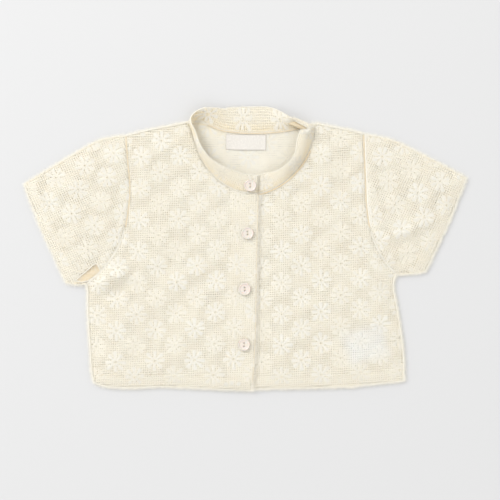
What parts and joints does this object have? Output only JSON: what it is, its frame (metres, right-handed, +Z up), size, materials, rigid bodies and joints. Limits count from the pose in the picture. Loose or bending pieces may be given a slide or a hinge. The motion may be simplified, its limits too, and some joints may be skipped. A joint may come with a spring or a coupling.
{
  "type": "lace cardigan",
  "caption": "Small child's short-sleeved cropped cardigan of daisy lace net with a stand neckband, buttoned down the front and laid flat on its back.",
  "frame": {"origin": "on the surface that the cardigan lies on, under the middle of its outline", "axes": "+X towards the wearer's left sleeve, +Y from the hem to the neck, +Z up from the surface to the front of the garment"},
  "size_m": [0.4252, 0.2724, 0.0149],
  "materials": {
    "lace": "cream net lace with a soft brushed nap and whiter daisies",
    "satin": "smooth white satin ribbon with a faint sheen",
    "pearl": "pearly, slightly translucent, glossy"
  },
  "bodies": {
    "root": {"back": "lace", "front_right": "lace", "front_left": "lace", "sleeve_right": "lace", "sleeve_left": "lace", "neckband": "lace", "neck_label": "satin", "care_label": "satin", "button_1": "pearl", "button_2": "pearl", "button_3": "pearl", "button_4": "pearl"}
  },
  "joints": []
}
